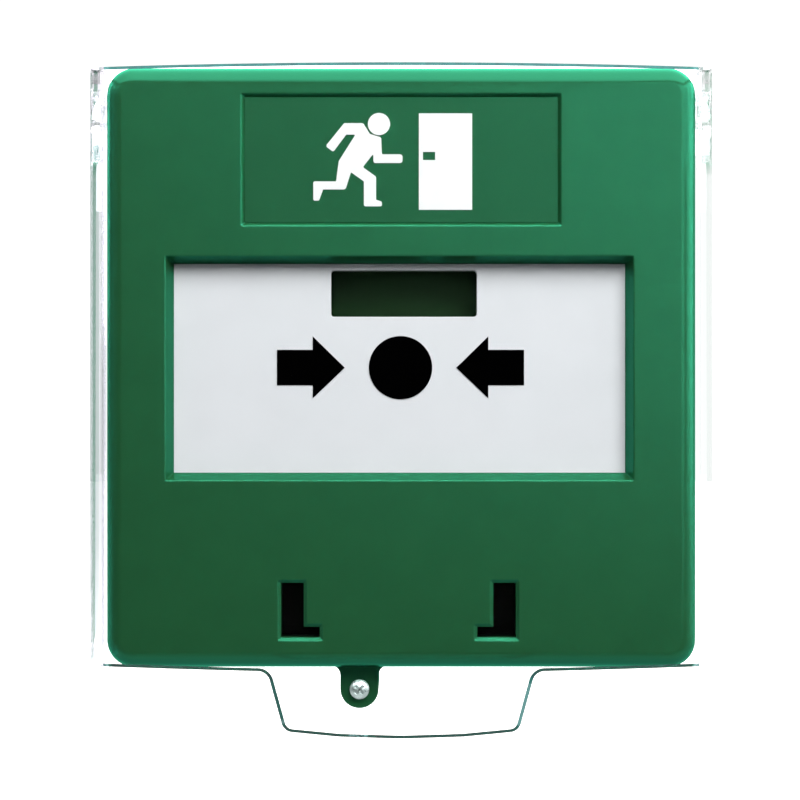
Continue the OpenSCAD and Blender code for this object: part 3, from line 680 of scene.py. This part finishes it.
def floor_paper():
    """White paper to the camera, straight or through the cover. Mirrored, it is a grey floor that
    fades to dark towards the camera, brighter under the cover; to soft bounces it is dim."""
    mat = Material("floor_paper")
    path = mat.add("LightPath").outputs
    y = mat.split(mat.coords)["Y"]
    unmirrored = mat.math("LESS_THAN", path["Glossy Depth"], 0.5)
    straight = mat.times(path["Is Transmission Ray"], unmirrored)
    seen = mat.highest(path["Is Camera Ray"], straight)
    paper = mat.first("BsdfPrincipled", {
        "Base Color": mat.ramp(mat.noise(60.0), (0.3, (0.80, 0.80, 0.80)),
                               (0.7, (0.82, 0.82, 0.82))),
        "Roughness": 0.8,
        "Emission Color": WHITE,
        "Emission Strength": mat.times(seen, 1.2)})
    inside = mat.math("GREATER_THAN", path["Transmission Depth"], 1.5)
    under_cover = mat.times(inside, mat.remap(y, -0.30, -0.08, start=0.07, end=1.3))
    mirrored = mat.first("Emission", {
        "Strength": mat.highest(under_cover, mat.remap(y, -0.25, 0.05, start=0.0, end=1.1))})
    bounce = mat.first("Emission", {"Strength": 0.06})
    surface = mat.mix_shader(path["Is Diffuse Ray"], paper, bounce)
    shiny = mat.highest(path["Is Glossy Ray"], path["Is Transmission Ray"])
    share = mat.math("SUBTRACT", shiny, seen, clamp=True)
    return mat.finish(mat.mix_shader(share, surface, mirrored))


def stage_floor():
    """A large flat floor of square faces, below the object."""
    z = CAD_BOUNDS[0][2] - 0.055
    cells, half = 24, 3.0
    stations = [-half + 2 * half * k / cells for k in range(cells + 1)]
    shape = bmesh.new()
    grid = [[shape.verts.new((x, y, z)) for y in stations] for x in stations]
    for i in range(cells):
        for j in range(cells):
            shape.faces.new((grid[i][j], grid[i + 1][j], grid[i + 1][j + 1], grid[i][j + 1]))
    floor = to_object("studio_floor", shape)
    floor.data.materials.append(floor_paper())


stage_floor()


# ---------------------------------------------------------------- lights

FOCUS = (0, -0.046, 0)

# name, degrees to the right of the camera side, degrees up, distance, width, height, watts
LIGHTS = (
    ("top_box", 8, 48.5, 1.0, 1.05, 0.72, 8.9),
    ("key", 34, 44, 1.0, 0.5, 0.5, 9.0),
    ("right_panel", 84, 8, 0.9, 0.7, 0.6, 1.6),
    ("left_fill", -75, 10, 1.0, 0.4, 0.6, 0.4),
    ("back_left", -118, 18, 1.0, 0.5, 0.6, 3.0),
    ("back", 180, 25, 1.0, 0.6, 0.6, 2.5),
)


def area_light(name, azimuth, elevation, distance, width, height, watts):
    """A rectangular light aimed at FOCUS and left out of mirrorings."""
    turn, rise = math.radians(azimuth), math.radians(elevation)
    position = (distance * math.sin(turn) * math.cos(rise),
                FOCUS[1] - distance * math.cos(turn) * math.cos(rise),
                distance * math.sin(rise))
    light = bpy.data.lights.new(name, "AREA")
    light.shape = "RECTANGLE"
    light.size, light.size_y = width, height
    light.energy = watts
    lamp = bpy.data.objects.new(name, light)
    lamp.visible_glossy = False
    bpy.context.scene.collection.objects.link(lamp)
    lamp.location = position
    aim = Vector(FOCUS) - Vector(position)
    lamp.rotation_euler = aim.to_track_quat("-Z", "Y").to_euler()


for row in LIGHTS:
    area_light(*row)


# ---------------------------------------------------------------- world

def mirrored_level(tree, path, direction, axes):
    """Brightness that shiny and clear surfaces show: dark behind the camera, light above and to
    the right, white behind the object."""
    def rise(value, low, high, start=0.0, level=1.0):
        return tree.remap(value, low, high, start, level, curve="SMOOTHSTEP")

    def lobe(towards, low, high, level):
        """A soft spot in the given direction; low and high are cosines from its middle."""
        dot = tree.add("VectorMath", {0: direction, 1: Vector(towards).normalized()},
                       operation="DOT_PRODUCT")
        return rise(dot.outputs["Value"], low, high, level=level)

    def deeper(limit):
        return tree.math("GREATER_THAN", path["Transmission Depth"], limit)

    x, z = axes["X"], axes["Z"]
    # the clear cover mirrors only the part of the big light that is well above or well to the
    # right of the lens
    aside = tree.highest(rise(z, 0.14, 0.34), rise(x, 0.62, 0.80))
    share = tree.highest(deeper(2.5), tree.times(aside, rise(deeper(1.5), 0.0, 1.0, start=0.42)))
    big_light = tree.highest(
        lobe((0.75, -0.45, 0.48), 0.30, 0.80, level=3.6),
        tree.times(rise(z, 0.26, 0.44, level=4.9), rise(x, -0.75, 0.15, start=0.72)),
        tree.times(rise(z, 0.10, 0.22, level=4.9), rise(x, -0.12, 0.18, start=0.28, level=1.05)),
        lobe((1.0, -0.10, 0.20), 0.80, 0.98, level=5.0),
        lobe((-1.0, -0.4, 0.3), 0.55, 1.0, level=0.45))
    # light that has run along inside the clear sheet comes out mixed, never black
    many_mirrors = tree.math("GREATER_THAN", path["Glossy Depth"], 1.5)
    level = tree.highest(
        tree.times(big_light, share),
        lobe((1.0, 0.0, 0.10), 0.45, 0.95, level=0.8),
        lobe((-1.0, 0.1, 0.1), 0.60, 1.0, level=0.4),
        lobe((0, 1, 0), 0.30, 0.75, level=1.15),
        tree.times(many_mirrors, 0.28))
    return tree.math("ADD", level, 0.002)


def build_world():
    """White where seen straight, a dim sky for soft light, and the studio for mirrorings."""
    world = bpy.data.worlds.new("studio")
    bpy.context.scene.world = world
    world.use_nodes = True
    tree = Nodes(world.node_tree)
    path = tree.add("LightPath").outputs
    direction = tree.add("TexCoord").outputs["Generated"]
    axes = tree.split(direction)
    seen = tree.first("Background", {"Color": WHITE, "Strength": 1.1})
    sky = tree.ramp(tree.remap(axes["Z"], -1, 1), (0.25, (0.55, 0.56, 0.56)), (0.95, WHITE))
    soft = tree.first("Background", {"Color": sky, "Strength": 0.03})
    mirrored = tree.first("Background", {
        "Color": WHITE, "Strength": mirrored_level(tree, path, direction, axes)})
    shiny = tree.highest(path["Is Transmission Ray"], path["Is Glossy Ray"])
    unseen = tree.mix_shader(shiny, soft, mirrored)
    unmirrored = tree.math("LESS_THAN", path["Glossy Depth"], 0.5)
    straight = tree.times(unmirrored, path["Is Transmission Ray"])
    in_view = tree.highest(path["Is Camera Ray"], straight)
    tree.add("OutputWorld", {0: tree.mix_shader(in_view, unseen, seen)})


build_world()


# ---------------------------------------------------------------- camera and render

CAMERA_DISTANCE = 0.400
CAMERA_X = -0.17741 * MM
CAMERA_Z = -4.80485 * MM

scene = bpy.context.scene
lens = bpy.data.cameras.new("camera")
lens.sensor_width = 36.0
lens.lens = 121.752
lens.clip_start = 0.01
lens.clip_end = 20
camera = bpy.data.objects.new("camera", lens)
scene.collection.objects.link(camera)
camera.location = (CAMERA_X, bezel_min.y - CAMERA_DISTANCE, CAMERA_Z)
camera.rotation_euler = (math.radians(90), 0, 0)
scene.camera = camera

scene.view_settings.view_transform = "Standard"
scene.view_settings.look = "None"
scene.cycles.transparent_max_bounces = 24
scene.cycles.max_bounces = 16
scene.cycles.transmission_bounces = 14
scene.cycles.caustics_reflective = False
scene.cycles.caustics_refractive = False
